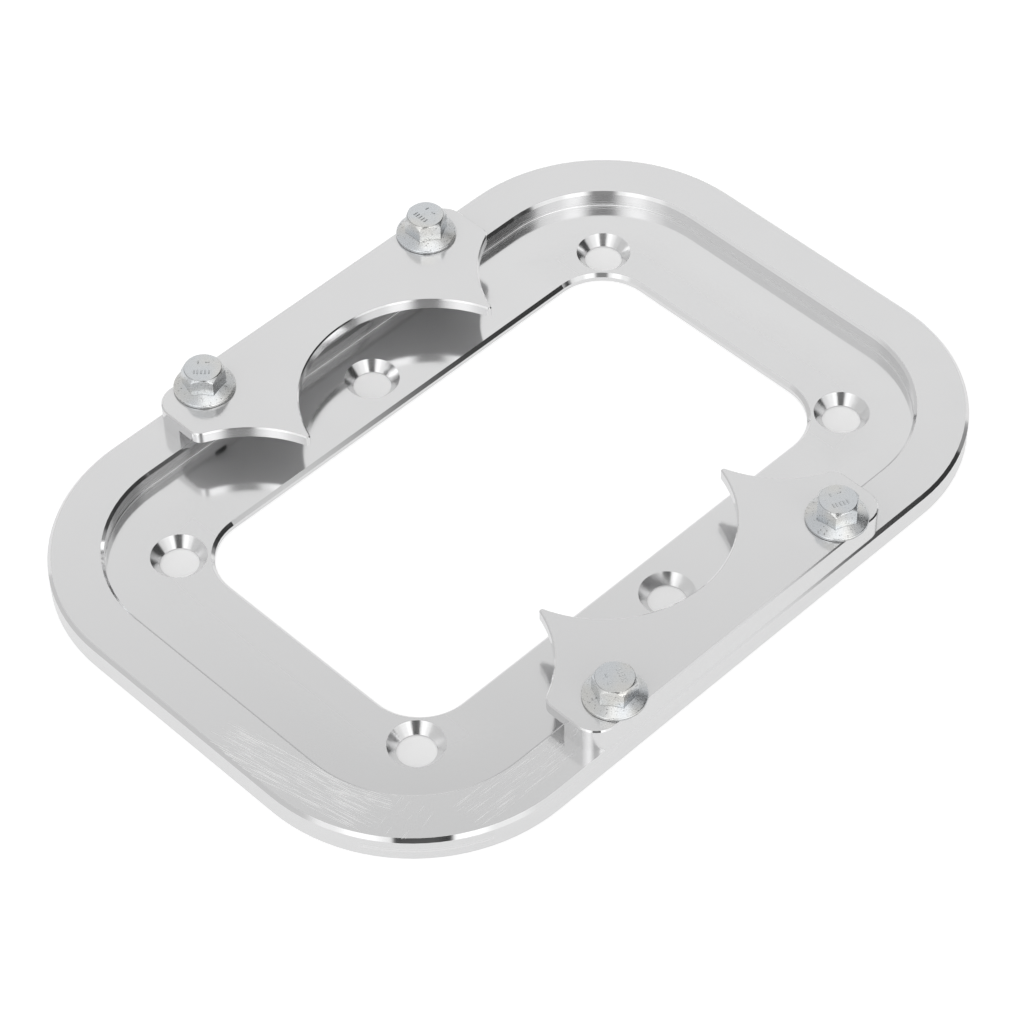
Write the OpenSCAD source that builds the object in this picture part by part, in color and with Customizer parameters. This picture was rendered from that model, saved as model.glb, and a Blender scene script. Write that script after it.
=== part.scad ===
// Battery hold-down plate.
// A machined base plate with a shallow pocket and a window, and two scalloped clamp bars
// that stand on its long rims, each held down by two hex flange bolts.
// Millimetres, +Z up. The origin is under the middle of the plate, on its underside.

/* [Base plate] */
// Length of the plate, along the clamps
plate_length = 296.6; // [280:0.1:320]
// Width of the plate, across the clamps
plate_width = 209.1; // [200:0.1:225]
// Thickness of the plate at its rim
plate_thickness = 10; // [9:0.5:15]
// Radius of the outer corners, seen from above
plate_corner_radius = 62.6; // [55:0.1:70]
// Chamfer along the outer edges and round the window
edge_chamfer = 1.15; // [0.5:0.05:1.5]

/* [Pocket and window] */
// Width of the rim left round the pocket
rim_width = 18.4; // [17:0.1:20]
// Thickness of the floor left under the pocket
floor_thickness = 4; // [4:0.1:5]
// Chamfer along the pocket's upper edge
pocket_chamfer = 0.95; // [0.3:0.05:1.2]
// Fillet at the foot of the pocket wall
pocket_fillet = 0.3; // [0.2:0.1:2]
// Length of the window through the floor
window_length = 193.4; // [185:0.1:196]
// Width of the window through the floor
window_width = 108; // [100:0.1:110]
// Corner radius of the window
window_corner_radius = 18.9; // [16:0.1:22]

/* [Floor holes] */
// Bore of the countersunk holes in the floor
floor_hole_diameter = 13; // [11:0.1:14]
// Diameter of their countersinks at the floor
countersink_diameter = 19; // [17:0.1:19.5]
// Included angle of their countersinks, in degrees
countersink_angle = 82; // [82:1:100]
// Distance between the corner holes along X
corner_hole_spacing_x = 200; // [198:0.1:204]
// Distance between the corner holes along Y
corner_hole_spacing_y = 112.2; // [111:0.1:118]
// Distance between the two middle holes along Y
middle_hole_spacing = 139.1; // [134:0.1:144]

/* [Clamp bars] */
// Length of a clamp bar
clamp_length = 136.7; // [132:0.1:142]
// Height of a clamp bar above the rim
clamp_height = 9.5; // [8:0.1:12]
// Thickness of the lip that reaches in over the pocket
lip_thickness = 4; // [3:0.1:5]
// Width of the rail that the clamp bar stands on
rail_width = 14; // [13:0.1:15]
// Width of the clamp bar at its narrowest, behind a scallop
bar_width = 19.9; // [18.5:0.1:22]
// How far the clamp's outer face stands in from the plate's side
clamp_setback = 0.35; // [0.1:0.05:1]
// Radius of the scallops
scallop_radius = 43.8; // [43:0.1:46]
// Distance between neighbouring scallops
scallop_pitch = 84.7; // [82:0.1:85]
// Radius of the rounded horn tips between the scallops
horn_tip_radius = 1; // [0.6:0.1:1.5]
// Radius of the clamp's outer corners
clamp_corner_radius = 8.7; // [5:0.1:9]
// Radius where the clamp's ends meet the outer scallops
inner_corner_radius = 4.5; // [3:0.1:5]
// Chamfer round the clamp's top
clamp_chamfer = 0.45; // [0.2:0.05:0.8]
// Radial play of the bolts in the clamp's holes
bolt_play = 1; // [1:0.05:1.5]
// Seat of the rear clamp within that play, along X
rear_clamp_shift_x = -0.7; // [-0.75:0.05:0.75]
// Seat of the rear clamp within that play, towards the plate's side
rear_clamp_shift_out = -0.6; // [-0.65:0.05:0]
// Seat of the front clamp within that play, along X
front_clamp_shift_x = -0.4; // [-0.7:0.05:0.7]

/* [Flange bolts] */
// Thread diameter
bolt_diameter = 10; // [9:0.5:10]
// Length under the head
bolt_length = 16; // [14:0.5:18]
// Distance from a clamp's end to its nearer bolt
bolt_end_distance = 16.55; // [14:0.05:19]
// Distance from the plate's side to the bolt centres
bolt_inset = 8.9; // [8.5:0.1:9.5]
// Height of the bolt head with its flange
head_height = 9.5; // [8.5:0.1:11]
// Width across the flats of the hex
across_flats = 13; // [12:0.1:14]
// Diameter of the flange
flange_diameter = 21; // [20:0.1:22]
// Thickness of the flange at its rounded rim
flange_rim = 1.4; // [1:0.1:1.8]
// Slope of the flange's upper face, in degrees
flange_slope = 21; // [15:1:25]
// Diameter of the flat on top of the hex
head_flat_diameter = 12.4; // [11:0.1:12.6]
// Chamfer at the bolt's tip
tip_chamfer = 1; // [0.5:0.1:1.5]
// Radial clearance of the bolts in the plate's tapped holes
thread_clearance = 0.1; // [0.05:0.01:0.2]

/* [Hidden] */
$fn = 96;
// Overshoot of the cutters past the faces they cut
over = 1;
pocket_length = plate_length - 2 * rim_width;
pocket_width = plate_width - 2 * rim_width;
pocket_corner_radius = plate_corner_radius - rim_width;
countersink_depth = (countersink_diameter - floor_hole_diameter) / 2 / tan(countersink_angle / 2);
bolt_spacing = clamp_length - 2 * bolt_end_distance;
bolt_y = plate_width / 2 - bolt_inset;
clamp_top = plate_thickness + clamp_height;
// In a clamp's own frame y runs inward from its outer face
clamp_hole_y = bolt_inset - clamp_setback;
scallop_y = bar_width + scallop_radius;
// The horn tip's circle meets the scallops on both sides of it, a hair deeper than touching
horn_bite = 0.02;
horn_reach = scallop_radius + horn_tip_radius - horn_bite;
horn_rise = sqrt(horn_reach * horn_reach - scallop_pitch * scallop_pitch / 4);
horn_y = scallop_y - horn_rise;
// The inner corner's circle touches the clamp's end and the outer scallop
inner_corner_x = clamp_length / 2 - inner_corner_radius;
inner_corner_reach = scallop_radius + inner_corner_radius;
inner_corner_run = scallop_pitch - inner_corner_x;
inner_corner_rise = sqrt(inner_corner_reach * inner_corner_reach - inner_corner_run * inner_corner_run);
inner_corner_y = scallop_y - inner_corner_rise;
outer_corner_x = clamp_length / 2 - clamp_corner_radius;
// Slope of the chamfer that turns off the hex's corners
head_chamfer_angle = 50;
// Turns of the four hexes about their axes, as the bolts happen to stop
rear_left_turn = 14;
rear_right_turn = 29.5;
front_left_turn = 5.5;
front_right_turn = 37;

// A solid of rounded-rectangle plan. Its child draws the wall's section from x = 0 to x = $reach.
module swept_outline(length, width, radius) {
    for (side_x = [-1, 1], side_y = [-1, 1])
        translate([side_x * (length / 2 - radius), side_y * (width / 2 - radius), 0])
            rotate_extrude()
                let ($reach = radius) children();
    rotate([90, 0, 90])
        linear_extrude(length - 2 * radius, center = true)
            for (side = [0, 1])
                mirror([side, 0, 0])
                    let ($reach = width / 2) children();
    rotate([90, 0, 0])
        linear_extrude(width - 2 * radius, center = true)
            for (side = [0, 1])
                mirror([side, 0, 0])
                    let ($reach = length / 2) children();
}

// Section of the plate's outer wall, chamfered above and below
module plate_section()
    polygon([[0, 0], [$reach - edge_chamfer, 0], [$reach, edge_chamfer],
             [$reach, plate_thickness - edge_chamfer], [$reach - edge_chamfer, plate_thickness],
             [0, plate_thickness]]);

// Section of the pocket's cutter, with the fillet at its foot and the chamfer at its mouth
module pocket_section() {
    flare = pocket_chamfer + over;
    polygon([[0, floor_thickness], [$reach - pocket_fillet, floor_thickness],
             [$reach - pocket_fillet, floor_thickness + pocket_fillet],
             [$reach, floor_thickness + pocket_fillet], [$reach, plate_thickness - pocket_chamfer],
             [$reach + flare, plate_thickness + over], [0, plate_thickness + over]]);
    translate([$reach - pocket_fillet, floor_thickness + pocket_fillet])
        circle(pocket_fillet);
}

// Section of the window's cutter, which chamfers the window above and below
module window_section()
    polygon([[0, -over], [$reach + edge_chamfer + over, -over], [$reach, edge_chamfer],
             [$reach, floor_thickness - edge_chamfer],
             [$reach + edge_chamfer + over, floor_thickness + over], [0, floor_thickness + over]]);

// Cutter of one countersunk hole in the floor
module countersunk_hole() {
    mouth = countersink_diameter / 2;
    bore = floor_hole_diameter / 2;
    rotate_extrude()
        polygon([[0, -over], [bore, -over], [bore, floor_thickness - countersink_depth],
                 [mouth, floor_thickness], [mouth, floor_thickness + over],
                 [0, floor_thickness + over]]);
}

// Places its child at the four corners of a rectangle about the origin
module at_four(spacing_x, spacing_y)
    for (side_x = [-1, 1], side_y = [-1, 1])
        translate([side_x * spacing_x / 2, side_y * spacing_y / 2, 0]) children();

module base_plate()
    color("gainsboro")
        difference() {
            swept_outline(plate_length, plate_width, plate_corner_radius) plate_section();
            swept_outline(pocket_length, pocket_width, pocket_corner_radius) pocket_section();
            swept_outline(window_length, window_width, window_corner_radius) window_section();
            at_four(corner_hole_spacing_x, corner_hole_spacing_y) countersunk_hole();
            for (side = [-1, 1])
                translate([0, side * middle_hole_spacing / 2, 0]) countersunk_hole();
            at_four(bolt_spacing, 2 * bolt_y)
                translate([0, 0, -over])
                    cylinder(h = plate_thickness + 2 * over, d = bolt_diameter + 2 * thread_clearance);
        }

// Bar of one section: the rail with its outer chamfer, and the lip above it
module clamp_bar() {
    lip_end = horn_y + 2 * horn_tip_radius;
    rotate([90, 0, 90])
        linear_extrude(clamp_length, center = true)
            polygon([[0, 0], [0, clamp_height - clamp_chamfer], [clamp_chamfer, clamp_height],
                     [lip_end, clamp_height], [lip_end, clamp_height - lip_thickness],
                     [rail_width, clamp_height - lip_thickness], [rail_width, 0]]);
}

// Cutter of one scallop, flared at its mouth for the chamfer
module scallop()
    rotate_extrude($fn = 240)
        polygon([[0, -over], [scallop_radius, -over], [scallop_radius, clamp_height - clamp_chamfer],
                 [scallop_radius + clamp_chamfer + over, clamp_height + over],
                 [0, clamp_height + over]]);

// Cutter that rounds and chamfers a corner whose arc turns from angle start through angle span
module corner_cut(radius, start, span)
    difference() {
        rotate([0, 0, start])
            translate([0, 0, -over])
                rotate_extrude(angle = span)
                    square([3 * radius, clamp_height + 2 * over]);
        rotate_extrude()
            polygon([[0, -2 * over], [radius, -2 * over], [radius, clamp_height - clamp_chamfer],
                     [radius - clamp_chamfer, clamp_height], [0, clamp_height]]);
    }

// Everything cut from one end of the bar
module clamp_end_cut() {
    turn = atan2(inner_corner_rise, inner_corner_run);
    translate([outer_corner_x, clamp_corner_radius, 0])
        corner_cut(clamp_corner_radius, -90, 90);
    translate([inner_corner_x, inner_corner_y, 0])
        corner_cut(inner_corner_radius, 0, turn);
    translate([clamp_length / 2, clamp_corner_radius, 0])
        rotate([-90, 0, 0])
            linear_extrude(inner_corner_y - clamp_corner_radius)
                polygon([[0, clamp_chamfer - clamp_height], [over, clamp_chamfer - clamp_height],
                         [over, -clamp_height - over], [-clamp_chamfer - over, -clamp_height - over]]);
}

// One clamp bar in its own frame, with y = 0 at its outer face and z = 0 on the rim
module clamp() {
    horn_turn = atan2(horn_rise, scallop_pitch / 2);
    difference() {
        clamp_bar();
        for (step = [-1, 0, 1])
            translate([step * scallop_pitch, scallop_y, 0]) scallop();
        for (side = [-1, 1])
            translate([side * scallop_pitch / 2, horn_y, 0])
                corner_cut(horn_tip_radius, horn_turn, 180 - 2 * horn_turn);
        for (side = [0, 1])
            mirror([side, 0, 0]) clamp_end_cut();
        for (side = [-1, 1])
            translate([side * bolt_spacing / 2, clamp_hole_y, -over])
                cylinder(h = clamp_height + 2 * over, d = bolt_diameter + 2 * bolt_play);
    }
}

module rear_clamp()
    color("silver")
        translate([rear_clamp_shift_x, plate_width / 2 - clamp_setback + rear_clamp_shift_out, plate_thickness])
            mirror([0, 1, 0]) clamp();

module front_clamp()
    color("silver")
        translate([front_clamp_shift_x, clamp_setback - plate_width / 2, plate_thickness]) clamp();

// Hex flange bolt with its flange's underside at z = 0
module flange_bolt() {
    shank_radius = bolt_diameter / 2;
    flange_radius = flange_diameter / 2;
    rim_radius = flange_rim / 2;
    rim_x = flange_radius - rim_radius;
    slope_x = rim_x + rim_radius * sin(flange_slope);
    slope_z = rim_radius + rim_radius * cos(flange_slope);
    hex_foot = slope_z + (slope_x - across_flats / 2) * tan(flange_slope);
    hex_radius = across_flats / sqrt(3);
    head_flat_radius = head_flat_diameter / 2;
    // Shank and flange, turned as one
    rotate_extrude() {
        polygon([[0, -bolt_length], [shank_radius - tip_chamfer, -bolt_length],
                 [shank_radius, tip_chamfer - bolt_length], [shank_radius, 0], [rim_x, 0],
                 [slope_x, slope_z], [across_flats / 2, hex_foot], [0, hex_foot]]);
        translate([rim_x, rim_radius]) circle(rim_radius);
    }
    // Hex with its corners turned off at the top
    intersection() {
        cylinder(h = head_height, r = hex_radius, $fn = 6);
        rotate_extrude()
            polygon([[0, 0], [flange_radius, 0],
                     [flange_radius, head_height - (flange_radius - head_flat_radius) * tan(head_chamfer_angle)],
                     [head_flat_radius, head_height], [0, head_height]]);
    }
}

// One bolt on its clamp. The sides are -1 or 1 along X and Y, and turn is the hex's turn.
module seated_bolt(side_x, side_y, turn)
    color("lightsteelblue")
        translate([side_x * bolt_spacing / 2, side_y * bolt_y, clamp_top])
            rotate([0, 0, turn]) flange_bolt();

module rear_left_bolt() seated_bolt(-1, 1, rear_left_turn);
module rear_right_bolt() seated_bolt(1, 1, rear_right_turn);
module front_left_bolt() seated_bolt(-1, -1, front_left_turn);
module front_right_bolt() seated_bolt(1, -1, front_right_turn);

base_plate();
rear_clamp();
front_clamp();
rear_left_bolt();
rear_right_bolt();
front_left_bolt();
front_right_bolt();
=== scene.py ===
"""Battery hold-down plate: finishes, bolt details, studio and camera.

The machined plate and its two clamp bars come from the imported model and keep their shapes. This
script gives them their finishes. It models the four flange bolts again at the same size and place,
with broken edges, a thread and plain strokes on their heads, and winds the thread that is seen in
each tapped hole. It also sets up the studio that the polished faces mirror.
"""
import logging
import math
from collections.abc import Callable
from dataclasses import dataclass
from enum import Enum

import bmesh
import bpy
from mathutils import Matrix, Vector


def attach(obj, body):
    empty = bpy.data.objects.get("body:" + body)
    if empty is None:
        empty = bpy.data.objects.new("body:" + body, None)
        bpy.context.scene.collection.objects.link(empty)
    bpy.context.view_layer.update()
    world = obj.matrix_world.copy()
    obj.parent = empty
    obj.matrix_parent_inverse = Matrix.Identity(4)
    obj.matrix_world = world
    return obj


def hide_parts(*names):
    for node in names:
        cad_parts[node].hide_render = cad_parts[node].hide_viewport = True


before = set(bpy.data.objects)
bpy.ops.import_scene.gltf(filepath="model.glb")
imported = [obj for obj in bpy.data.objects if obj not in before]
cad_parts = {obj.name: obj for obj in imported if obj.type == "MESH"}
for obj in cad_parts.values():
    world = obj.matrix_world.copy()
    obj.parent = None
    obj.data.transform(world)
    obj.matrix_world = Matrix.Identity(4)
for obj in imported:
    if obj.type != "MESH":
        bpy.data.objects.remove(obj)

LOG = logging.getLogger("hold_down_plate")
ROOT = "root"
MM = 0.001
# Place of the bolts, in millimetres.
BOLT_X = 51.8
BOLT_Y = 95.65
ALONG = Vector((1, 0, 0))
ACROSS = Vector((0, 1, 0))
UP = Vector((0, 0, 1))
# Ranges of the normal's Z part over which a face comes to count as one kind. A broken edge has one
# for its start and one for its end.
DOWNWARD = (-0.95, -0.6)
UPRIGHT = (0.665, 0.7)
BROKEN_FROM = (0.69, 0.7)
BROKEN_TO = (0.72, 0.78)
LEVEL = (0.97, 0.995)
FORGED = (0.95, 0.99)
# Z part of the normal beyond which a face is an upper or lower one, and below which it is a wall.
FACING = 0.9
STEEP = 0.2
# Levels between which most of a noise texture lies.
CLOUDY = (0.3, 0.7)
# Distance within which points are merged, in metres.
MERGE = 0.004 * MM
STEPS_PER_TURN = 32
LEVEL_WEIGHT = 90
Socket = bpy.types.NodeSocket
Piece = bpy.types.Object


class Finish(Enum):
    """The finishes on this part, by the record's material slots."""

    PLATE = "plate_aluminium"
    CLAMP = "clamp_aluminium"
    BOLT = "zinc_plated_steel"


class NodeSheet:
    """A node tree that is filled in by short calls.

    Args:
        tree: The node tree of a material or a world.
    """

    def __init__(self, tree: bpy.types.NodeTree) -> None:
        """Empties the tree and keeps it."""
        self.tree = tree
        tree.nodes.clear()

    def add(self, kind: str, **values: object) -> bpy.types.Node:
        """Adds a node of a kind, sets its plain properties and returns it."""
        node = self.tree.nodes.new(kind)
        for name, value in values.items():
            setattr(node, name, value)
        return node

    def wire(self, value: object, socket: Socket) -> None:
        """Links a socket to another, or sets it to a constant."""
        if isinstance(value, Socket):
            self.tree.links.new(value, socket)
        else:
            socket.default_value = value

    def math(self, operation: str, *values: object) -> Socket:
        """Adds a Math node and returns its output."""
        node = self.add("ShaderNodeMath", operation=operation)
        for socket, value in zip(node.inputs, values):
            self.wire(value, socket)
        return node.outputs[0]

    def vector(self, operation: str, *values: object) -> Socket:
        """Adds a Vector Math node and returns its output, a number for a dot product or distance."""
        node = self.add("ShaderNodeVectorMath", operation=operation)
        for socket, value in zip(node.inputs, values):
            self.wire(value, socket)
        return node.outputs["Value" if operation in ("DOT_PRODUCT", "DISTANCE") else "Vector"]

    def dot(self, place: Socket, way: Vector) -> Socket:
        """Adds a dot product with a fixed direction and returns its value."""
        return self.vector("DOT_PRODUCT", place, way)

    def ramp(
        self, value: object, low: float, high: float, start: float = 0.0, end: float = 1.0
    ) -> Socket:
        """Adds a smooth Map Range from low..high to start..end and returns its output."""
        node = self.add("ShaderNodeMapRange", interpolation_type="SMOOTHSTEP")
        for socket, item in zip(node.inputs, (value, low, high, start, end)):
            self.wire(item, socket)
        return node.outputs[0]

    def blend(self, share: object, first: object, second: object) -> Socket:
        """Mixes two numbers by a share and returns the result."""
        node = self.add("ShaderNodeMix", data_type="FLOAT")
        for place, value in zip((0, 2, 3), (share, first, second)):
            self.wire(value, node.inputs[place])
        return node.outputs[0]

    def tint(self, share: object, first: object, second: object) -> Socket:
        """Mixes two colours by a share and returns the result."""
        node = self.add("ShaderNodeMix", data_type="RGBA")
        for place, value in zip((0, 6, 7), (share, first, second)):
            self.wire(value, node.inputs[place])
        return node.outputs[2]

    def noise(self, place: Socket, scale: float, detail: float) -> Socket:
        """Adds a noise texture at a place and returns its level."""
        node = self.add("ShaderNodeTexNoise")
        node.inputs["Scale"].default_value = scale
        node.inputs["Detail"].default_value = detail
        self.wire(place, node.inputs["Vector"])
        return node.outputs["Fac"]

    def bump(self, height: Socket, strength: Socket, depth: float) -> Socket:
        """Adds a bump of a depth in metres and returns its normal."""
        node = self.add("ShaderNodeBump")
        self.wire(strength, node.inputs["Strength"])
        node.inputs["Distance"].default_value = depth
        self.wire(height, node.inputs["Height"])
        return node.outputs[0]

    def surface(self, shader: Socket, kind: str = "ShaderNodeOutputMaterial") -> None:
        """Sends a shader to the tree's output."""
        self.wire(shader, self.add(kind).inputs["Surface"])


def direction(azimuth: float, elevation: float) -> Vector:
    """Turns angles into a unit vector.

    Args:
        azimuth: Degrees from +X towards +Y.
        elevation: Degrees above the horizon.

    Returns:
        The unit vector.
    """
    turn, rise = math.radians(azimuth), math.radians(elevation)
    return Vector((math.cos(turn) * math.cos(rise), math.sin(turn) * math.cos(rise), math.sin(rise)))


@dataclass(frozen=True)
class StudioCard:
    """A soft-edged card far off in the studio, seen by what is lit or mirrored.

    Args:
        azimuth: Middle of the card, in degrees from +X towards +Y.
        elevation: Middle of the card, in degrees above the horizon.
        width: Half its width, in degrees.
        height: Half its height, in degrees.
        edge: Width of its soft edge, in degrees.
        level: Its radiance.
    """

    azimuth: float
    elevation: float
    width: float
    height: float
    edge: float
    level: float

    def mask(self, sheet: NodeSheet, ray: Socket, rise: Socket) -> Socket:
        """Builds the card's mask, 1 on the card and 0 away from it.

        Args:
            sheet: The world's node sheet.
            ray: The direction looked in.
            rise: That direction's elevation, in radians.

        Returns:
            The mask.
        """
        aside = sheet.dot(ray, direction(self.azimuth + 90, 0))
        ahead = sheet.dot(ray, direction(self.azimuth, 0))
        turn = sheet.math("ABSOLUTE", sheet.math("ARCTAN2", aside, ahead))
        lift = sheet.math("ABSOLUTE", sheet.math("SUBTRACT", rise, math.radians(self.elevation)))
        shares = []
        for angle, half in ((turn, self.width), (lift, self.height)):
            inner, outer = math.radians(half - self.edge / 2), math.radians(half + self.edge / 2)
            shares.append(sheet.ramp(angle, inner, outer, 1.0, 0.0))
        return sheet.math("MULTIPLY", *shares)


@dataclass(frozen=True)
class Studio:
    """The white studio: its far walls, cards and floor.

    Args:
        wall: Radiance of the walls up to the height where they start to darken.
        ceiling: Radiance overhead.
        fade_start: Elevation at which the wall starts to darken, in degrees.
        fade_end: Elevation at which it has the ceiling's radiance, in degrees.
        cards: The cards, each laid over the one before it.
        floor_glow: Share of the floor that glows by itself to the camera, so that no shadow dims it.
        floor_shaded: The same share under the holes, where the plate shades the floor.
        floor_mirror_share: Share of the floor that glows where the metal mirrors it.
        floor_white: Radiance of the share that glows to the camera.
        floor_mirrored: Radiance of the floor where the metal mirrors it.
        floor_paint: Grey of the share that doesn't glow.
        floor_size: Half the width of the floor, in metres.
        floor_gap: Gap between the part and the floor, in metres.
        hole_places: Centres of the holes through which the floor is seen in shade, as +X +Y places.
        hole_radius: Radius about them in which the floor doesn't glow, in metres.
    """

    wall: float = 0.84
    ceiling: float = 0.5
    fade_start: float = 44.0
    fade_end: float = 60.0
    cards: tuple[StudioCard, ...] = (
        StudioCard(azimuth=0, elevation=90, width=200, height=24, edge=8, level=1.25),
        StudioCard(azimuth=128, elevation=20, width=56, height=60, edge=12, level=0.64),
        StudioCard(azimuth=156, elevation=38, width=26, height=8, edge=6, level=0.79),
        StudioCard(azimuth=-168, elevation=30, width=22, height=34, edge=10, level=0.98),
        StudioCard(azimuth=-165, elevation=30, width=9, height=34, edge=12, level=1.28),
        StudioCard(azimuth=-98, elevation=30, width=21, height=34, edge=12, level=0.98),
        StudioCard(azimuth=-108.5, elevation=30, width=9, height=34, edge=10, level=1.28),
        StudioCard(azimuth=-115, elevation=8, width=32, height=13, edge=8, level=1.8),
        StudioCard(azimuth=15, elevation=40, width=16, height=16, edge=8, level=0.62),
        StudioCard(azimuth=42, elevation=26, width=24, height=9, edge=6, level=0.58),
        StudioCard(azimuth=-133, elevation=32, width=15.5, height=8, edge=3, level=0.04),
        StudioCard(azimuth=-134.5, elevation=44.5, width=12, height=6, edge=9, level=0.26),
        StudioCard(azimuth=-28, elevation=13.5, width=24, height=13.5, edge=6, level=0.3),
        StudioCard(azimuth=-24, elevation=19, width=12, height=8, edge=6, level=0.06),
        StudioCard(azimuth=-40.3, elevation=18.8, width=15.3, height=10.2, edge=1, level=0.045),
        StudioCard(azimuth=-28, elevation=36.6, width=30.3, height=9.3, edge=4.5, level=0.045),
        StudioCard(azimuth=-18, elevation=44, width=23, height=5, edge=10, level=0.06),
        StudioCard(azimuth=-52.5, elevation=40.2, width=17.5, height=5.8, edge=6, level=0.015),
        StudioCard(azimuth=-60.5, elevation=34.4, width=6, height=1.8, edge=1.6, level=0.06),
    )
    floor_glow: float = 0.3
    floor_shaded: float = 0.1
    floor_mirror_share: float = 0.7
    floor_white: float = 2.1
    floor_mirrored: float = 0.92
    floor_paint: float = 0.9
    floor_size: float = 6.0
    floor_gap: float = 0.0001
    hole_places: tuple[tuple[float, float], ...] = ((0.1, 0.0561), (0.0, 0.06955))
    hole_radius: float = 0.0075

    def build(self) -> None:
        """Builds the world and the floor."""
        self.build_world()
        self.build_floor()

    def build_world(self) -> None:
        """Lights the studio from its walls and cards, and shows white to the camera."""
        world = bpy.data.worlds.new("studio")
        bpy.context.scene.world = world
        world.use_nodes = True
        sheet = NodeSheet(world.node_tree)
        ray = sheet.add("ShaderNodeTexCoord").outputs["Generated"]
        height = sheet.dot(ray, UP)
        rise = sheet.math("ARCSINE", height)
        start, end = math.radians(self.fade_start), math.radians(self.fade_end)
        level = sheet.ramp(rise, start, end, self.wall, self.ceiling)
        for card in self.cards:
            level = sheet.blend(card.mask(sheet, ray, rise), level, card.level)
        seen = sheet.add("ShaderNodeLightPath").outputs["Is Camera Ray"]
        background = sheet.add("ShaderNodeBackground")
        background.inputs["Color"].default_value = (1, 1, 1, 1)
        sheet.wire(sheet.blend(seen, level, 1.0), background.inputs["Strength"])
        sheet.surface(background.outputs[0], "ShaderNodeOutputWorld")

    def build_floor(self) -> None:
        """Lays the pale floor that the part rests on. From below it is clear, so the underside shows."""
        bpy.ops.object.select_all(action="DESELECT")
        bpy.ops.mesh.primitive_plane_add(size=2 * self.floor_size, location=(0, 0, -self.floor_gap))
        floor = bpy.context.object
        floor.name = "floor"
        bpy.ops.object.transform_apply(location=True, rotation=False, scale=True)
        material = bpy.data.materials.new("floor_white")
        material.use_nodes = True
        sheet = NodeSheet(material.node_tree)
        paint = sheet.add("ShaderNodeBsdfDiffuse")
        paint.inputs["Color"].default_value = (self.floor_paint,) * 3 + (1,)
        glow = sheet.add("ShaderNodeEmission")
        path = sheet.add("ShaderNodeLightPath")
        camera, glossy = path.outputs["Is Camera Ray"], path.outputs["Is Glossy Ray"]
        sheet.wire(sheet.blend(camera, self.floor_mirrored, self.floor_white), glow.inputs["Strength"])
        mix = sheet.add("ShaderNodeMixShader")
        beside = self.beside_holes(sheet)
        glowing = sheet.blend(beside, self.floor_shaded, self.floor_mirror_share)
        mirrored = sheet.math("MULTIPLY", glossy, glowing)
        seen = sheet.blend(beside, self.floor_shaded, self.floor_glow)
        sheet.wire(sheet.blend(camera, mirrored, seen), mix.inputs[0])
        sheet.wire(paint.outputs[0], mix.inputs[1])
        sheet.wire(glow.outputs[0], mix.inputs[2])
        one_sided = sheet.add("ShaderNodeMixShader")
        sheet.wire(sheet.add("ShaderNodeNewGeometry").outputs["Backfacing"], one_sided.inputs[0])
        sheet.wire(mix.outputs[0], one_sided.inputs[1])
        sheet.wire(sheet.add("ShaderNodeBsdfTransparent").outputs[0], one_sided.inputs[2])
        sheet.surface(one_sided.outputs[0])
        floor.data.materials.append(material)

    def beside_holes(self, sheet: NodeSheet) -> Socket:
        """Finds the floor away from the holes.

        Args:
            sheet: The floor's node sheet.

        Returns:
            1 away from the holes and 0 under them.
        """
        place = sheet.vector("ABSOLUTE", sheet.add("ShaderNodeTexCoord").outputs["Object"])
        share: object = 1.0
        for x, y in self.hole_places:
            away = sheet.vector("DISTANCE", place, (x, y, 0))
            beside = sheet.math("GREATER_THAN", away, self.hole_radius)
            share = sheet.math("MULTIPLY", share, beside)
        return share


@dataclass(frozen=True)
class PhotoCamera:
    """The camera at the photograph's viewing angle.

    Args:
        aim: The point on the pocket's floor that the image's middle shows, in metres.
        distance: Distance from that point, in metres.
        azimuth: Direction of view, in degrees from +X towards +Y.
        elevation: Height above the horizon from which it looks down, in degrees.
        roll: Turn about the line of sight, in degrees.
        lens: Focal length, in millimetres.
        sensor: Width of the sensor, in millimetres.
    """

    aim: tuple[float, float, float] = (-0.01007, -0.00835, 0.004)
    distance: float = 1.204
    azimuth: float = 45.96
    elevation: float = 47.94
    roll: float = -1.25
    lens: float = 127.99
    sensor: float = 36.0

    def build(self) -> None:
        """Makes the camera and gives it to the scene."""
        data = bpy.data.cameras.new("camera")
        data.sensor_width = self.sensor
        data.lens = self.lens
        data.clip_start = 0.01
        data.clip_end = 100.0
        camera = bpy.data.objects.new("camera", data)
        bpy.context.scene.collection.objects.link(camera)
        sight = direction(self.azimuth, -self.elevation)
        turn = sight.to_track_quat("-Z", "Y").to_matrix().to_4x4()
        place = Matrix.Translation(Vector(self.aim) - sight * self.distance)
        camera.matrix_world = place @ turn @ Matrix.Rotation(math.radians(self.roll), 4, "Z")
        bpy.context.scene.camera = camera


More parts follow.
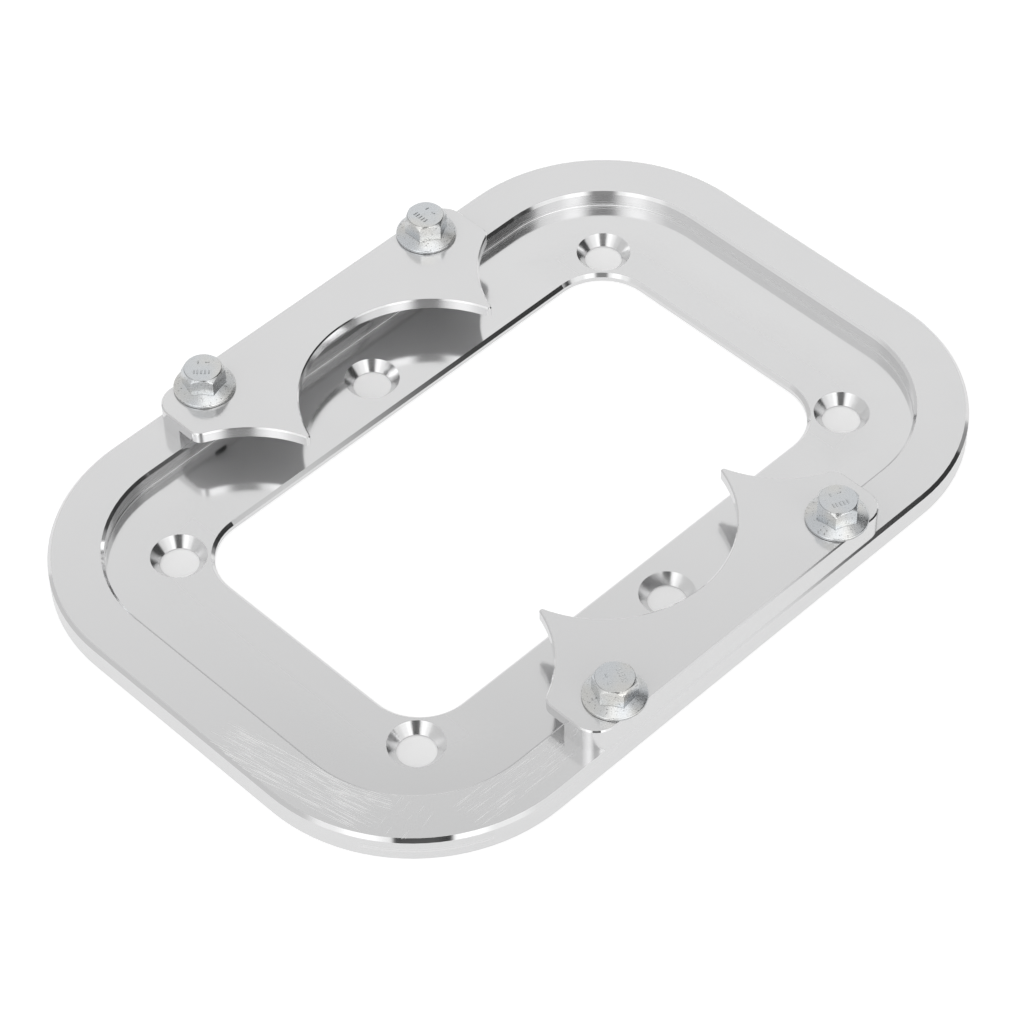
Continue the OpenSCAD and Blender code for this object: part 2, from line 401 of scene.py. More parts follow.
@dataclass(frozen=True)
class ScratchPatch:
    """A patch of fine parallel scratches on the plate's rim.

    Args:
        x: Middle of the patch along X, in millimetres.
        y: Middle of the patch along Y, in millimetres.
        angle: Direction of its scratches from +X, in degrees.
        length: Half its length along the scratches, in millimetres.
        width: Half its width across them, in millimetres.
        cut: Noise level above which a scratch shows; higher is sparser.
        along_scale: Noise scale along the scratches, per metre.
        across_scale: Noise scale across them, per metre.
        full: Shares of its half length and half width within which it is at its full density.
        lift: How much denser they are there than at its edge, as a noise level.
        soft: Range of noise levels over which a scratch sets in.
    """

    x: float
    y: float
    angle: float
    length: float
    width: float
    cut: float
    along_scale: float = 70.0
    across_scale: float = 2500.0
    full: tuple[float, float] = (0.6, 0.75)
    lift: float = 0.3
    soft: float = 0.08

    def mask(self, sheet: NodeSheet, place: Socket) -> Socket:
        """Builds the patch's mask, 1 in its scratches and 0 elsewhere."""
        shift = sheet.vector("SUBTRACT", place, (self.x * MM, self.y * MM, 0))
        along = sheet.dot(shift, direction(self.angle, 0))
        across = sheet.dot(shift, direction(self.angle + 90, 0))
        long, wide = self.length * MM, self.width * MM
        full_long, full_wide = long * self.full[0], wide * self.full[1]
        share = sheet.ramp(sheet.math("ABSOLUTE", along), full_long, long, 1.0, 0.0)
        side = sheet.ramp(sheet.math("ABSOLUTE", across), full_wide, wide, 1.0, 0.0)
        grid = sheet.add("ShaderNodeCombineXYZ")
        sheet.wire(sheet.math("MULTIPLY", along, self.along_scale), grid.inputs[0])
        sheet.wire(sheet.math("MULTIPLY", across, self.across_scale), grid.inputs[1])
        lines = sheet.noise(grid.outputs[0], 1.0, 2.0)
        fade = sheet.math("MULTIPLY", share, side)
        level = sheet.math("SUBTRACT", lines, sheet.blend(fade, self.lift, 0.0))
        return sheet.ramp(level, self.cut, self.cut + self.soft)


@dataclass(frozen=True)
class PolishedAluminium:
    """Polished aluminium with milled walls and undersides.

    Args:
        colour: Base colour of the metal.
        scratch_and_highlight: Its colour in scratches and in the painted highlight lines.
        scratch_and_highlight_rough: Roughness there.
        polish: Mean roughness of the faces that look up.
        polish_range: Least and greatest roughness there, as shares of that mean.
        polish_scale: Noise scale of that range, per metre.
        cut: Roughness of the broken edges, which are cut bright.
        wall: Roughness of the walls inside the reach.
        underside: Roughness of the faces that look down.
        reach: Half sizes along X and Y within which walls are milled, not polished, in metres.
        mill: Strength of the cutter's lines on the milled walls.
        mill_scale: Noise scale of those lines on each axis, per metre.
        mill_depth: Their depth, in metres.
        scratches: Patches of scratches on the faces that look up.
        scratch_height: Height above which they lie, in metres.
        painted_highlight_lines: Heights of the painted highlight lines on the milled walls, each with
            half
        its width, in millimetres.
        haze: Share of matt shine on the faces that look up.
        clear_from: Distance from the middle line beyond which the pocket's floor mirrors the
            clamps and has no haze, in metres.
        clear_reach: Half the length of that stretch along X, in metres.
        clear_height: Height below which the pocket's floor lies, in metres.
        clear_edge: Half the width over which the haze fades there, in metres.
        corner: Centre of the pocket's corners, as a +X +Y place, in metres.
        haze_radius: Radii about it between which the floor's haze ends before the pocket's wall,
            in metres.
    """

    colour: tuple[float, float, float] = (0.85, 0.85, 0.853)
    scratch_and_highlight: tuple[float, float, float] = (0.95, 0.95, 0.95)
    scratch_and_highlight_rough: float = 0.42
    polish: float = 0.12
    polish_range: tuple[float, float] = (0.9, 1.15)
    polish_scale: float = 60.0
    cut: float = 0.07
    wall: float = 0.18
    underside: float = 0.5
    reach: tuple[float, float] = (1.0, 1.0)
    mill: float = 0.5
    mill_scale: tuple[float, float, float] = (12.0, 12.0, 2500.0)
    mill_depth: float = 0.02 * MM
    scratches: tuple[ScratchPatch, ...] = ()
    scratch_height: float = 9.8 * MM
    painted_highlight_lines: tuple[tuple[float, float], ...] = ()
    haze: float = 0.3
    clear_from: float = 40.0 * MM
    clear_reach: float = 80.0 * MM
    clear_height: float = 9.0 * MM
    clear_edge: float = 10.0 * MM
    corner: tuple[float, float] = (85.7 * MM, 41.95 * MM)
    haze_radius: tuple[float, float] = (20.0 * MM, 35.0 * MM)

    def build(self, name: str) -> bpy.types.Material:
        """Makes the material under a name."""
        material = bpy.data.materials.new(name)
        material.use_nodes = True
        sheet = NodeSheet(material.node_tree)
        metal = sheet.add("ShaderNodeBsdfPrincipled")
        metal.inputs["Base Color"].default_value = (*self.colour, 1)
        place = sheet.add("ShaderNodeTexCoord").outputs["Object"]
        upward = sheet.dot(sheet.add("ShaderNodeNewGeometry").outputs["Normal"], UP)
        milled = self.milled_share(sheet, place, upward)
        rough = self.roughness(sheet, place, upward, milled)
        # Scratches, which are wear, and the painted highlight lines on the milled walls take a lighter
        # colour and roughness.
        if self.scratches:
            lines = self.painted_highlight_share(sheet, place, upward, milled)
            scratch_and_highlight = sheet.math("MAXIMUM", self.scored_share(sheet, place), lines)
            rough = sheet.blend(scratch_and_highlight, rough, self.scratch_and_highlight_rough)
            colour = sheet.tint(scratch_and_highlight, (*self.colour, 1), (*self.scratch_and_highlight, 1))
            sheet.wire(colour, metal.inputs["Base Color"])
        sheet.wire(rough, metal.inputs["Roughness"])
        haze = self.haze_share(sheet, place, upward)
        sheet.wire(sheet.blend(haze, 1.0, 1.0 - self.haze), metal.inputs["Metallic"])
        sheet.wire(self.mill_lines(sheet, place, milled), metal.inputs["Normal"])
        sheet.surface(metal.outputs[0])
        return material

    def roughness(self, sheet: NodeSheet, place: Socket, upward: Socket, milled: Socket) -> Socket:
        """Sets the roughness of polished tops, bright edges, milled walls and undersides.

        Args:
            sheet: The material's node sheet.
            place: Object coordinates.
            upward: The normal's Z part.
            milled: 1 on the milled walls.

        Returns:
            The roughness.
        """
        below = sheet.ramp(upward, *DOWNWARD, 1.0, 0.0)
        cloud = sheet.noise(place, self.polish_scale, 4.0)
        least, greatest = self.polish_range
        satin = sheet.ramp(cloud, *CLOUDY, self.polish * least, self.polish * greatest)
        rising = sheet.ramp(upward, *BROKEN_FROM)
        broken = sheet.math("MULTIPLY", rising, sheet.ramp(upward, *BROKEN_TO, 1.0, 0.0))
        upper = sheet.blend(broken, satin, self.cut)
        return sheet.blend(below, sheet.blend(milled, upper, self.wall), self.underside)

    def haze_share(self, sheet: NodeSheet, place: Socket, upward: Socket) -> Socket:
        """Finds the level faces that the buffing left slightly hazy.

        Args:
            sheet: The material's node sheet.
            place: Object coordinates.
            upward: The normal's Z part.

        Returns:
            1 on those faces. 0 on the others and on the pocket's floor by walls and clamps.
        """
        along = sheet.math("ABSOLUTE", sheet.dot(place, ALONG))
        across = sheet.math("ABSOLUTE", sheet.dot(place, ACROSS))
        low = sheet.math("LESS_THAN", sheet.dot(place, UP), self.clear_height)
        edge, start, end = self.clear_edge, self.clear_from, self.clear_reach
        beyond = sheet.ramp(across, start - edge, start + edge)
        within = sheet.ramp(along, end - edge, end + edge, 1.0, 0.0)
        squares = []
        for distance, corner in zip((along, across), self.corner):
            past = sheet.math("MAXIMUM", sheet.math("SUBTRACT", distance, corner), 0.0)
            squares.append(sheet.math("MULTIPLY", past, past))
        radius = sheet.math("SQRT", sheet.math("ADD", *squares))
        by_clamp = sheet.math("MULTIPLY", beyond, within)
        beside = sheet.math("MAXIMUM", by_clamp, sheet.ramp(radius, *self.haze_radius))
        hazy = sheet.math("SUBTRACT", 1.0, sheet.math("MULTIPLY", low, beside))
        return sheet.math("MULTIPLY", sheet.ramp(upward, *LEVEL), hazy)

    def scored_share(self, sheet: NodeSheet, place: Socket) -> Socket:
        """Finds the scratches of all patches.

        Args:
            sheet: The material's node sheet.
            place: Object coordinates.

        Returns:
            1 in a scratch and 0 elsewhere.
        """
        share: object = 0.0
        for patch in self.scratches:
            share = sheet.math("MAXIMUM", share, patch.mask(sheet, place))
        high = sheet.math("GREATER_THAN", sheet.dot(place, UP), self.scratch_height)
        return sheet.math("MULTIPLY", share, high)

    def painted_highlight_share(self, sheet: NodeSheet, place: Socket, upward: Socket, milled: Socket) -> Socket:
        """Finds the painted highlight lines on the milled walls.

        Args:
            sheet: The material's node sheet.
            place: Object coordinates.
            upward: The normal's Z part.
            milled: 1 on the milled walls.

        Returns:
            1 on a line and 0 elsewhere.
        """
        height = sheet.dot(place, UP)
        share: object = 0.0
        for middle, half in self.painted_highlight_lines:
            off = sheet.math("ABSOLUTE", sheet.math("SUBTRACT", height, middle * MM))
            share = sheet.math("MAXIMUM", share, sheet.math("LESS_THAN", off, half * MM))
        upright = sheet.math("LESS_THAN", sheet.math("ABSOLUTE", upward), STEEP)
        return sheet.math("MULTIPLY", sheet.math("MULTIPLY", share, upright), milled)

    def milled_share(self, sheet: NodeSheet, place: Socket, upward: Socket) -> Socket:
        """Finds the upright walls inside the reach.

        Args:
            sheet: The material's node sheet.
            place: Object coordinates.
            upward: The normal's Z part.

        Returns:
            1 on those walls and 0 elsewhere.
        """
        share = sheet.ramp(sheet.math("ABSOLUTE", upward), *UPRIGHT, 1.0, 0.0)
        for axis, half in zip((ALONG, ACROSS), self.reach):
            inside = sheet.math("LESS_THAN", sheet.math("ABSOLUTE", sheet.dot(place, axis)), half)
            share = sheet.math("MULTIPLY", share, inside)
        return share

    def mill_lines(self, sheet: NodeSheet, place: Socket, milled: Socket) -> Socket:
        """Draws the cutter's level lines on the milled walls, as a bump."""
        lines = sheet.noise(sheet.vector("MULTIPLY", place, self.mill_scale), 1.0, 2.0)
        return sheet.bump(lines, sheet.math("MULTIPLY", milled, self.mill), self.mill_depth)


@dataclass(frozen=True)
class ZincPlate:
    """Bright zinc plating over forged steel, with a fine grain, dark specks, faint tints, grime and
    painted shade.

    Args:
        colour: Base colour of the plating.
        warm: Its colour where it is tinted.
        speck: Colour of the specks.
        metallic: Share of its metallic shine; the rest is matt.
        roughness: Its mean roughness.
        rough_range: Least and greatest roughness, as shares of that mean.
        grain: Noise scale of the grain, per metre.
        relief: Depth of the grain, in metres.
        head_grain: Share of the grain and specks on level faces.
        speck_scale: Noise scale of the specks, per metre.
        speck_levels: Noise levels between which they set in.
        tint_scale: Noise scale of the tints, per metre.
        tint_levels: Noise levels between which they set in.
        grime_and_shade_bands: Heights between which the plating is darkened by grime together with
            painted shade, each with its share, in millimetres: the flange's seat and rim, and the foot
            of the strokes.
        grime_and_shade_colour: Colour of that grime and painted shade.
        foot: Share of that colour in the painted shade line at the hex's foot.
        foot_shade_height: Height of that line's middle above the flange's slope, in metres.
        foot_shade_fade: Distances from that middle between which the line ends, in metres.
        foot_shade_reach: Distance from the bolt's axis within which the line lies, in metres.
    """

    colour: tuple[float, float, float] = (0.74, 0.765, 0.79)
    warm: tuple[float, float, float] = (0.8, 0.79, 0.76)
    speck: tuple[float, float, float] = (0.3, 0.3, 0.3)
    metallic: float = 0.88
    roughness: float = 0.2
    rough_range: tuple[float, float] = (0.7, 1.5)
    grain: float = 2600.0
    relief: float = 0.00002
    head_grain: float = 0.3
    speck_scale: float = 1500.0
    speck_levels: tuple[float, float] = (0.62, 0.7)
    tint_scale: float = 90.0
    tint_levels: tuple[float, float] = (0.35, 0.75)
    # Bands of grime together with painted shade, which darken the plating at these heights.
    grime_and_shade_bands: tuple[tuple[float, float, float], ...] = (
        (19.3, 19.86, 0.9), (20.14, 20.42, 0.55), (28.56, 28.76, 0.55), (28.8, 28.96, 0.6),
    )
    grime_and_shade_colour: tuple[float, float, float] = (0.1, 0.1, 0.1)
    # Painted shade line along the hex's foot.
    foot: float = 0.6
    foot_shade_height: float = 0.17 * MM
    foot_shade_fade: tuple[float, float] = (0.07 * MM, 0.15 * MM)
    foot_shade_reach: float = 7.8 * MM

    def build(self, name: str) -> bpy.types.Material:
        """Makes the material under a name."""
        material = bpy.data.materials.new(name)
        material.use_nodes = True
        sheet = NodeSheet(material.node_tree)
        metal = sheet.add("ShaderNodeBsdfPrincipled")
        metal.inputs["Metallic"].default_value = self.metallic
        place = sheet.add("ShaderNodeTexCoord").outputs["Object"]
        upward = sheet.dot(sheet.add("ShaderNodeNewGeometry").outputs["Normal"], UP)
        forged = sheet.ramp(upward, *FORGED, 1.0, self.head_grain)
        grain = sheet.noise(place, self.grain, 3.0)
        spots = sheet.ramp(sheet.noise(place, self.speck_scale, 2.0), *self.speck_levels)
        specks = sheet.math("MULTIPLY", spots, forged)
        tinted = sheet.ramp(sheet.noise(place, self.tint_scale, 1.0), *self.tint_levels)
        plating = sheet.tint(tinted, (*self.colour, 1), (*self.warm, 1))
        speckled = sheet.tint(specks, plating, (*self.speck, 1))
        # Painted shade with grime in the bands, and painted shade along the hex's foot, darken the
        # plating.
        grime_and_shade = sheet.math("MAXIMUM", self.grime_and_shade_share(sheet, place), self.foot_shade_share(sheet, place))
        colour = sheet.tint(grime_and_shade, speckled, (*self.grime_and_shade_colour, 1))
        sheet.wire(colour, metal.inputs["Base Color"])
        least, greatest = self.rough_range
        rough = sheet.ramp(grain, *CLOUDY, self.roughness * least, self.roughness * greatest)
        sheet.wire(rough, metal.inputs["Roughness"])
        sheet.wire(sheet.bump(grain, forged, self.relief), metal.inputs["Normal"])
        sheet.surface(metal.outputs[0])
        return material

    def grime_and_shade_share(self, sheet: NodeSheet, place: Socket) -> Socket:
        """Finds the bands of grime and painted shade by their heights."""
        height = sheet.dot(place, UP)
        share: object = 0.0
        for low, high, level in self.grime_and_shade_bands:
            middle, half = (low + high) / 2 * MM, (high - low) / 2 * MM
            off = sheet.math("ABSOLUTE", sheet.math("SUBTRACT", height, middle))
            share = sheet.math("MAXIMUM", share, sheet.ramp(off, half * 0.5, half, level, 0.0))
        return share

    def foot_shade_share(self, sheet: NodeSheet, place: Socket) -> Socket:
        """Finds the painted shade line along the hex's foot, just above the flange's slope."""
        bolt = FlangeBolt()
        level = sheet.vector("MULTIPLY", sheet.vector("ABSOLUTE", place), (1, 1, 0))
        away = sheet.vector("DISTANCE", level, (BOLT_X * MM, BOLT_Y * MM, 0))
        inward = sheet.math("SUBTRACT", bolt.flange_radius, away)
        slope = sheet.math("MULTIPLY", inward, math.tan(math.radians(bolt.flange_slope)))
        above = sheet.math("SUBTRACT", sheet.dot(place, UP), slope)
        middle = bolt.seat + bolt.flange_rim + self.foot_shade_height
        off = sheet.math("ABSOLUTE", sheet.math("SUBTRACT", above, middle))
        line = sheet.ramp(off, *self.foot_shade_fade, self.foot, 0.0)
        return sheet.math("MULTIPLY", line, sheet.math("LESS_THAN", away, self.foot_shade_reach))


def deselect() -> None:
    """Leaves edit mode and clears the selection."""
    if bpy.context.object and bpy.context.object.mode != "OBJECT":
        bpy.ops.object.mode_set(mode="OBJECT")
    bpy.ops.object.select_all(action="DESELECT")


def work_on(piece: Piece) -> None:
    """Makes one piece the only selected and the active one."""
    deselect()
    piece.select_set(True)
    bpy.context.view_layer.objects.active = piece


def settle(piece: Piece) -> None:
    """Takes the piece's place, turn and scale into its mesh."""
    work_on(piece)
    bpy.ops.object.transform_apply(location=True, rotation=True, scale=True)


def cylinder(
    name: str, radius: float, low: float, high: float, sides: int = 96, turn: float = 0.0
) -> Piece:
    """Adds an upright cylinder on the Z axis.

    Args:
        name: The object's name.
        radius: Its radius, in metres.
        low: Height of its lower face.
        high: Height of its upper face.
        sides: Number of its sides.
        turn: Turn about the axis, in degrees.

    Returns:
        The cylinder, with its origin at the world's.
    """
    deselect()
    bpy.ops.mesh.primitive_cylinder_add(
        vertices=sides, radius=radius, depth=high - low,
        location=(0, 0, (low + high) / 2), rotation=(0, 0, math.radians(turn)),
    )
    piece = bpy.context.object
    piece.name = name
    settle(piece)
    return piece


def edit(piece: Piece, kind: str, action: str) -> None:
    """Enters edit mode on one piece and selects or deselects all elements of a kind."""
    work_on(piece)
    bpy.ops.object.mode_set(mode="EDIT")
    bpy.ops.mesh.select_mode(type=kind)
    bpy.ops.mesh.select_all(action=action)


def pick_faces(piece: Piece, test: Callable[[bmesh.types.BMFace], bool]) -> None:
    """Enters edit mode and selects the faces that pass a test."""
    edit(piece, "FACE", "DESELECT")
    mesh = bmesh.from_edit_mesh(piece.data)
    for face in mesh.faces:
        face.select = test(face)
    bmesh.update_edit_mesh(piece.data)


def pick_edges(piece: Piece, test: Callable[[bmesh.types.BMEdge], bool]) -> None:
    """Enters edit mode and selects the edges that pass a test."""
    edit(piece, "EDGE", "DESELECT")
    mesh = bmesh.from_edit_mesh(piece.data)
    for edge in mesh.edges:
        edge.select = test(edge)
    bmesh.update_edit_mesh(piece.data)


def stretch(rise: float, scale: float) -> None:
    """Extrudes the selected faces upright by a rise and scales the new ends about the Z axis."""
    bpy.ops.mesh.extrude_region_move(TRANSFORM_OT_translate={"value": (0, 0, rise)})
    bpy.ops.transform.resize(value=(scale, scale, 1), center_override=(0, 0, 0))


def combine(piece: Piece, tool: Piece, operation: str) -> None:
    """Applies a Boolean of the piece with a tool, and removes the tool."""
    work_on(piece)
    boolean = piece.modifiers.new("combine", "BOOLEAN")
    boolean.operation = operation
    boolean.solver = "EXACT"
    boolean.object = tool
    bpy.ops.object.modifier_apply(modifier=boolean.name)
    bpy.data.objects.remove(tool, do_unlink=True)
    clean(piece)


def clean(piece: Piece) -> None:
    """Merges points that a Boolean left on top of each other and turns all faces outward."""
    edit(piece, "VERT", "SELECT")
    bpy.ops.mesh.remove_doubles(threshold=MERGE)
    bpy.ops.mesh.dissolve_degenerate(threshold=MERGE)
    bpy.ops.mesh.normals_make_consistent(inside=False)
    bpy.ops.object.mode_set(mode="OBJECT")


def soften(piece: Piece, width: float) -> None:
    """Rounds the piece's sharp edges with an applied Bevel modifier."""
    work_on(piece)
    bevel = piece.modifiers.new("soften", "BEVEL")
    bevel.width = width
    bevel.segments = 2
    bevel.limit_method = "ANGLE"
    bevel.angle_limit = math.radians(30)
    bpy.ops.object.modifier_apply(modifier=bevel.name)


def level_shading(piece: Piece, angle: float) -> None:
    """Shades the piece smooth up to an angle, with its large flat faces kept level."""
    work_on(piece)
    bpy.ops.object.shade_smooth_by_angle(angle=math.radians(angle))
    level = piece.modifiers.new("level", "WEIGHTED_NORMAL")
    level.keep_sharp = True
    level.weight = LEVEL_WEIGHT
    bpy.ops.object.modifier_apply(modifier=level.name)


def wind(
    name: str, radius: float, base: float, crest: float, low: float, turns: float, pitch: float
) -> Piece:
    """Winds a thread's ridge about the Z axis from a three-sided profile.

    Args:
        name: The object's name.
        radius: Mean distance of the profile's middle from the axis.
        base: Half the profile's height along the axis.
        crest: Distance from the profile's middle to its crest; negative points to the axis.
        low: Height of the profile's middle at the start.
        turns: Number of turns.
        pitch: Rise of one turn.

    Returns:
        The closed ridge.
    """
    deselect()
    bpy.ops.mesh.primitive_circle_add(vertices=3, radius=1.0, fill_type="NOTHING", location=(0, 0, 0))
    ridge = bpy.context.object
    ridge.name = name
    edit(ridge, "VERT", "SELECT")
    bpy.ops.transform.rotate(value=math.radians(-90), orient_axis="Z", center_override=(0, 0, 0))
    bpy.ops.transform.rotate(value=math.radians(90), orient_axis="X", center_override=(0, 0, 0))
    tall = base / math.cos(math.radians(30))
    bpy.ops.transform.resize(value=(crest, 1, tall), center_override=(0, 0, 0))
    bpy.ops.transform.translate(value=(radius, 0, low))
    bpy.ops.object.mode_set(mode="OBJECT")
    screw = ridge.modifiers.new("wind", "SCREW")
    screw.axis = "Z"
    screw.angle = math.radians(360 * turns)
    screw.screw_offset = pitch * turns
    screw.steps = screw.render_steps = round(STEPS_PER_TURN * turns)
    bpy.ops.object.modifier_apply(modifier=screw.name)
    edit(ridge, "EDGE", "DESELECT")
    bpy.ops.mesh.select_non_manifold()
    bpy.ops.mesh.fill_holes(sides=3)
    bpy.ops.mesh.select_all(action="SELECT")
    bpy.ops.mesh.normals_make_consistent(inside=False)
    bpy.ops.object.mode_set(mode="OBJECT")
    return ridge


@dataclass(frozen=True)
class FlangeBolt:
    """A hex flange bolt with a rolled thread and raised strokes on its head, in metres.

    Args:
        tip: Height of the shank's end.
        seat: Height on which the flange sits.
        top: Height of the strokes on the head.
        flats: Width across the hex's flats.
        flat_radius: Radius of the head's flat top.
        head_chamfer: Angle of the head's turned corners, in degrees.
        flange_radius: Radius of the flange.
        flange_rim: Height of the flange's rim.
        flange_slope: Slope of the flange's upper face, in degrees.
        flange_round: Size of the rounding at the flange's rim.
        major: Radius of the thread's crests.
        minor: Radius of its roots.
        pitch: Rise of one turn.
        turns: Number of turns.
        ridge: Half the height of the ridge's foot along the axis.
        ridge_middle: Distance of its profile's middle outside the roots.
        stroke: Height of the strokes.
        stroke_edge: Width of their broken edges.
        fillet: Size of the fillet at the hex's foot.
        edge: Width of the broken edges of the hex.
    """

    tip: float = 3.5 * MM
    seat: float = 19.5 * MM
    top: float = 29.0 * MM
    flats: float = 13.0 * MM
    flat_radius: float = 6.2 * MM
    head_chamfer: float = 50.0
    flange_radius: float = 10.5 * MM
    flange_rim: float = 1.18 * MM
    flange_slope: float = 21.0
    flange_round: float = 0.42 * MM
    major: float = 4.95 * MM
    minor: float = 4.1 * MM
    pitch: float = 1.5 * MM
    turns: int = 9
    ridge: float = 0.7 * MM
    ridge_middle: float = 0.25 * MM
    stroke: float = 0.22 * MM
    stroke_edge: float = 0.16 * MM
    fillet: float = 0.3 * MM
    edge: float = 0.18 * MM

    def build(self) -> Piece:
        """Models the bolt on the world's Z axis, with its hex unturned."""
        bolt = self.build_flange()
        combine(bolt, self.build_head(), "UNION")
        self.fill_foot(bolt)
        combine(bolt, self.build_thread(), "UNION")
        level_shading(bolt, 22.0)
        return bolt

    def build_flange(self) -> Piece:
        """Models the flange with its sloped face and rounded rim."""
        flange = cylinder("flange", self.flange_radius, self.seat, self.seat + self.flange_rim)
        pick_faces(flange, lambda face: face.normal.z > FACING)
        run = self.flange_radius - self.flats / 2
        stretch(run * math.tan(math.radians(self.flange_slope)), self.flats / 2 / self.flange_radius)

        def at_rim(edge: bmesh.types.BMEdge) -> bool:
            """Tells whether an edge lies level at the rim."""
            first, second = (point.co for point in edge.verts)
            outer = min(math.hypot(*first.xy), math.hypot(*second.xy)) > self.flange_radius - MM / 10
            return outer and abs(first.z - second.z) < MM / 100

        pick_edges(flange, at_rim)
        bpy.ops.mesh.bevel(offset=self.flange_round, segments=4, profile=0.5)
        bpy.ops.object.mode_set(mode="OBJECT")
        return flange

    def fill_foot(self, bolt: Piece) -> None:
        """Rounds the corner between the hex's foot and the flange."""
        foot_limit = self.top - 4 * MM
        side, slope_low, slope_high = 0.3, 0.85, 0.97

        def at_foot(edge: bmesh.types.BMEdge) -> bool:
            """Tells whether an edge joins the hex's side to the flange."""
            if len(edge.link_faces) != 2 or max(v.co.z for v in edge.verts) > foot_limit:
                return False
            rises = sorted(face.normal.z for face in edge.link_faces)
            return abs(rises[0]) < side and slope_low < rises[1] < slope_high

        pick_edges(bolt, at_foot)
        bpy.ops.mesh.bevel(offset=self.fillet, segments=2, clamp_overlap=True)
        clean(bolt)

    def build_head(self) -> Piece:
        """Models the hex, turns its corners off with a cone and adds the strokes."""
        face_height = self.top - self.stroke
        head = cylinder("head", self.flats / math.sqrt(3), self.seat + MM, face_height, sides=6, turn=30)
        foot = 8 * MM
        cone = cylinder("cone", self.flat_radius, self.seat + foot, face_height, sides=192)
        pick_faces(cone, lambda face: face.normal.z < -FACING)
        drop = 4 * MM
        bpy.ops.transform.translate(value=(0, 0, face_height - drop - self.seat - foot))
        wide = (self.flat_radius + drop / math.tan(math.radians(self.head_chamfer))) / self.flat_radius
        bpy.ops.transform.resize(value=(wide, wide, 1), center_override=(0, 0, 0))
        skirt = 5 * MM
        stretch(-skirt, 1.0)
        combine(head, cone, "INTERSECT")
        soften(head, self.edge)
        for x, y, long, high in self.strokes():
            combine(head, self.build_stroke(x, y, long, high), "UNION")
        return head

    def strokes(self) -> list[tuple[float, float, float, float]]:
        """Lists the strokes as X, Y and their sizes along both."""
        row = [(x * MM, -2.2 * MM, 0.5 * MM, 1.8 * MM) for x in (-2.7, -1.6, -0.3, 1.0, 2.3)]
        mark = [(-1.7 * MM, 2.4 * MM, 0.5 * MM, 1.4 * MM), (1.4 * MM, 2.4 * MM, 1.5 * MM, 0.5 * MM)]
        return row + mark

    def build_stroke(self, x: float, y: float, long: float, high: float) -> Piece:
        """Models one raised stroke whose foot is sunk in the head."""
        deselect()
        bpy.ops.mesh.primitive_cube_add(size=1.0, location=(x, y, self.top - self.stroke))
        stroke = bpy.context.object
        stroke.scale = (long, high, 2 * self.stroke)
        settle(stroke)
        pick_faces(stroke, lambda face: face.normal.z > FACING)
        bpy.ops.mesh.bevel(offset=self.stroke_edge, segments=1)
        bpy.ops.object.mode_set(mode="OBJECT")
        return stroke

    def build_thread(self) -> Piece:
        """Models the threaded shank with its chamfered tip."""
        shank = cylinder("shank", self.minor, self.tip, self.seat + MM / 2, sides=64)
        middle, start = self.minor + self.ridge_middle, self.tip + 0.1 * MM
        reach = self.major - self.minor - self.ridge_middle
        ridge = wind("ridge", middle, self.ridge, reach, start, self.turns, self.pitch)
        combine(shank, ridge, "UNION")
        die = cylinder("die", self.major, self.tip, self.seat + MM, sides=64)
        pick_faces(die, lambda face: face.normal.z < -FACING)
        bpy.ops.transform.translate(value=(0, 0, MM))
        stretch(-MM, (self.major - MM) / self.major)
        bpy.ops.object.mode_set(mode="OBJECT")
        combine(shank, die, "INTERSECT")
        return shank


@dataclass(frozen=True)
class BoltPlace:
    """Where a copy of the bolt stands in for a node.

    Args:
        node: The node's name.
        x: Place along X, in millimetres.
        y: Place along Y, in millimetres.
        turn: Turn of the hex and its strokes, in degrees.
    """

    node: str
    x: float
    y: float
    turn: float

    def stand_in(self, master: Piece, material: bpy.types.Material) -> None:
        """Puts a copy of the master at this place and hides the node."""
        piece = self.put_copy(master, "_flange_bolt", self.turn)
        finish_piece(piece, material, Finish.BOLT)
        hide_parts(self.node)

    def put_copy(self, master: Piece, ending: str, turn: float = 0.0) -> Piece:
        """Copies a piece with its mesh to this place.

        Args:
            master: The piece, modelled on the world's Z axis.
            ending: Ending of the copy's name, after the name of the bolt's place.
            turn: Turn about the axis, in degrees.

        Returns:
            The copy.
        """
        piece = master.copy()
        piece.data = master.data.copy()
        piece.name = self.node.replace("_bolt", ending)
        bpy.context.scene.collection.objects.link(piece)
        piece.rotation_euler.z = math.radians(turn)
        piece.location = (self.x * MM, self.y * MM, 0)
        settle(piece)
        return piece


@dataclass(frozen=True)
class TappedThread:
    """The thread's ridge that is seen in a tapped hole below the bolt's tip, in metres.

    Args:
        bore: Radius of the hole.
        crest: Radius of the ridge's crest.
        low: Height of the ridge's middle at its start.
        turns: Number of turns.
        pitch: Rise of one turn.
        foot: Half the height of the ridge's foot along the axis.
    """

    bore: float = 5.1 * MM
    crest: float = 4.45 * MM
    low: float = 0.95 * MM
    turns: float = 1.05
    pitch: float = 1.5 * MM
    foot: float = 0.62 * MM

    def build(self) -> Piece:
        """Models the ridge on the world's Z axis."""
        depth = self.crest - self.bore
        ridge = wind("tapped_thread", self.bore, self.foot, depth, self.low, self.turns, self.pitch)
        level_shading(ridge, 25.0)
        return ridge


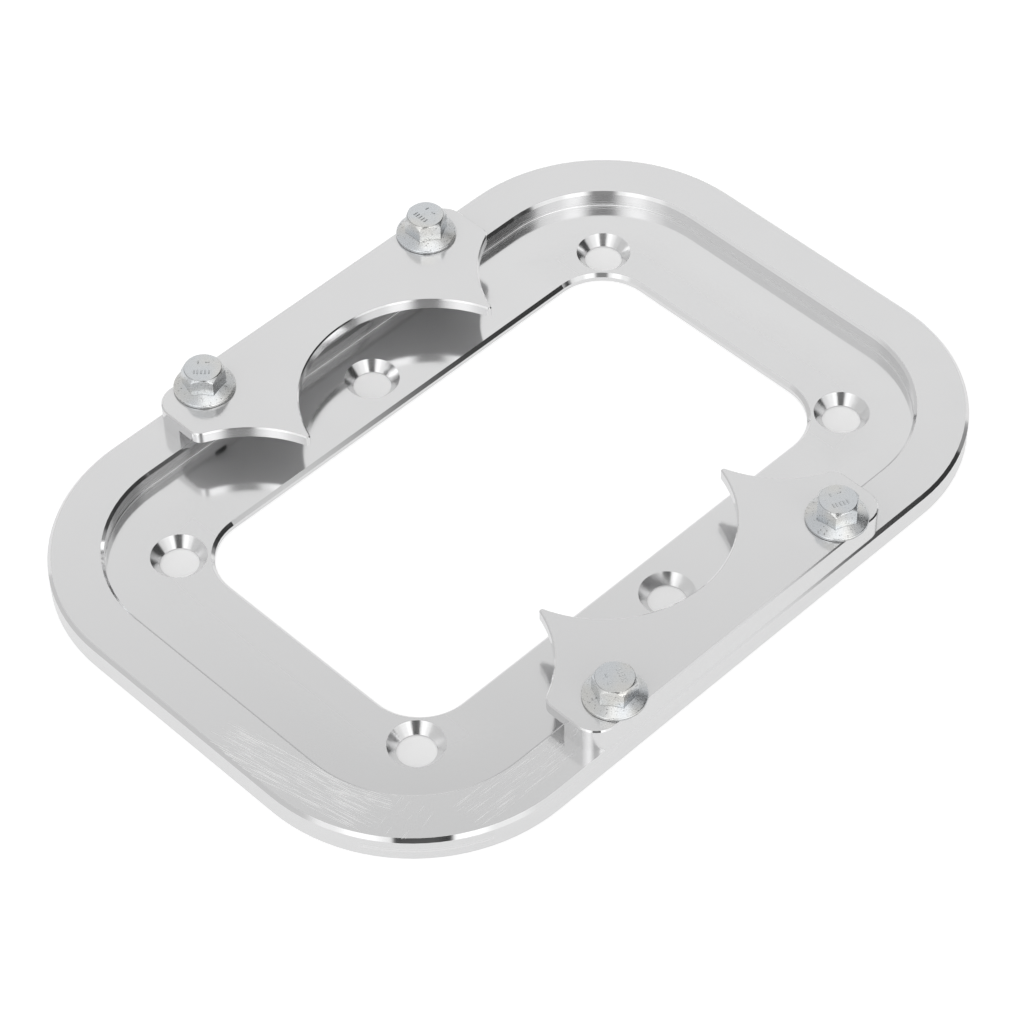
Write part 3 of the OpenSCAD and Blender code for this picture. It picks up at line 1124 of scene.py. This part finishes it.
def finish_piece(piece: Piece, material: bpy.types.Material, finish: Finish) -> None:
    """Gives a new piece its material and slot, lets it ride on the part and logs it."""
    piece.data.materials.clear()
    piece.data.materials.append(material)
    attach(piece, ROOT)
    LOG.info("%s: %d faces, %s", piece.name, len(piece.data.polygons), finish.value)


def dress(node: str, material: bpy.types.Material, finish: Finish) -> None:
    """Puts one material on a CAD node and logs its finish."""
    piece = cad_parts[node]
    if not piece.material_slots:
        piece.data.materials.append(material)
    for slot in piece.material_slots:
        slot.material = material
    LOG.info("%s: %s", node, finish.value)


SCRATCHES = (
    ScratchPatch(x=-138.5, y=-42, angle=-78, length=40, width=8.5, cut=0.5),
    ScratchPatch(x=-128, y=-61, angle=-66, length=15, width=5, cut=0.5),
    ScratchPatch(x=-126, y=-79, angle=14, length=11, width=8, cut=0.62),
    ScratchPatch(x=-92, y=-91.5, angle=-2, length=28, width=8, cut=0.56),
)
# Painted highlight lines on the pocket's walls: heights and half widths, in millimetres.
PAINTED_HIGHLIGHT_LINES = ((4.8, 0.13), (5.7, 0.06))
BOLT_PLACES = (
    BoltPlace("rear_left_bolt", -BOLT_X, BOLT_Y, -46),
    BoltPlace("rear_right_bolt", BOLT_X, BOLT_Y, -90.5),
    BoltPlace("front_left_bolt", -BOLT_X, -BOLT_Y, 65.5),
    BoltPlace("front_right_bolt", BOLT_X, -BOLT_Y, -23),
)


def main() -> None:
    """Builds the scene in order."""
    logging.basicConfig(level=logging.INFO, format="%(message)s")
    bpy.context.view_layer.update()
    PhotoCamera().build()
    Studio().build()
    milled = PolishedAluminium(reach=(0.14, 0.1), scratches=SCRATCHES, painted_highlight_lines=PAINTED_HIGHLIGHT_LINES)
    plate = milled.build("plate_polish")
    clamp = PolishedAluminium(wall=0.15, underside=0.8).build("clamp_polish")
    zinc = ZincPlate().build("zinc_plate")
    dress("base_plate", plate, Finish.PLATE)
    for name in ("rear_clamp", "front_clamp"):
        dress(name, clamp, Finish.CLAMP)
    master, ridge = FlangeBolt().build(), TappedThread().build()
    for place in BOLT_PLACES:
        place.stand_in(master, zinc)
        finish_piece(place.put_copy(ridge, "_tapped_thread"), plate, Finish.PLATE)
    for spare in (master, ridge):
        bpy.data.objects.remove(spare, do_unlink=True)
    bpy.context.scene.view_settings.view_transform = "Standard"


if __name__ == "__main__":
    main()
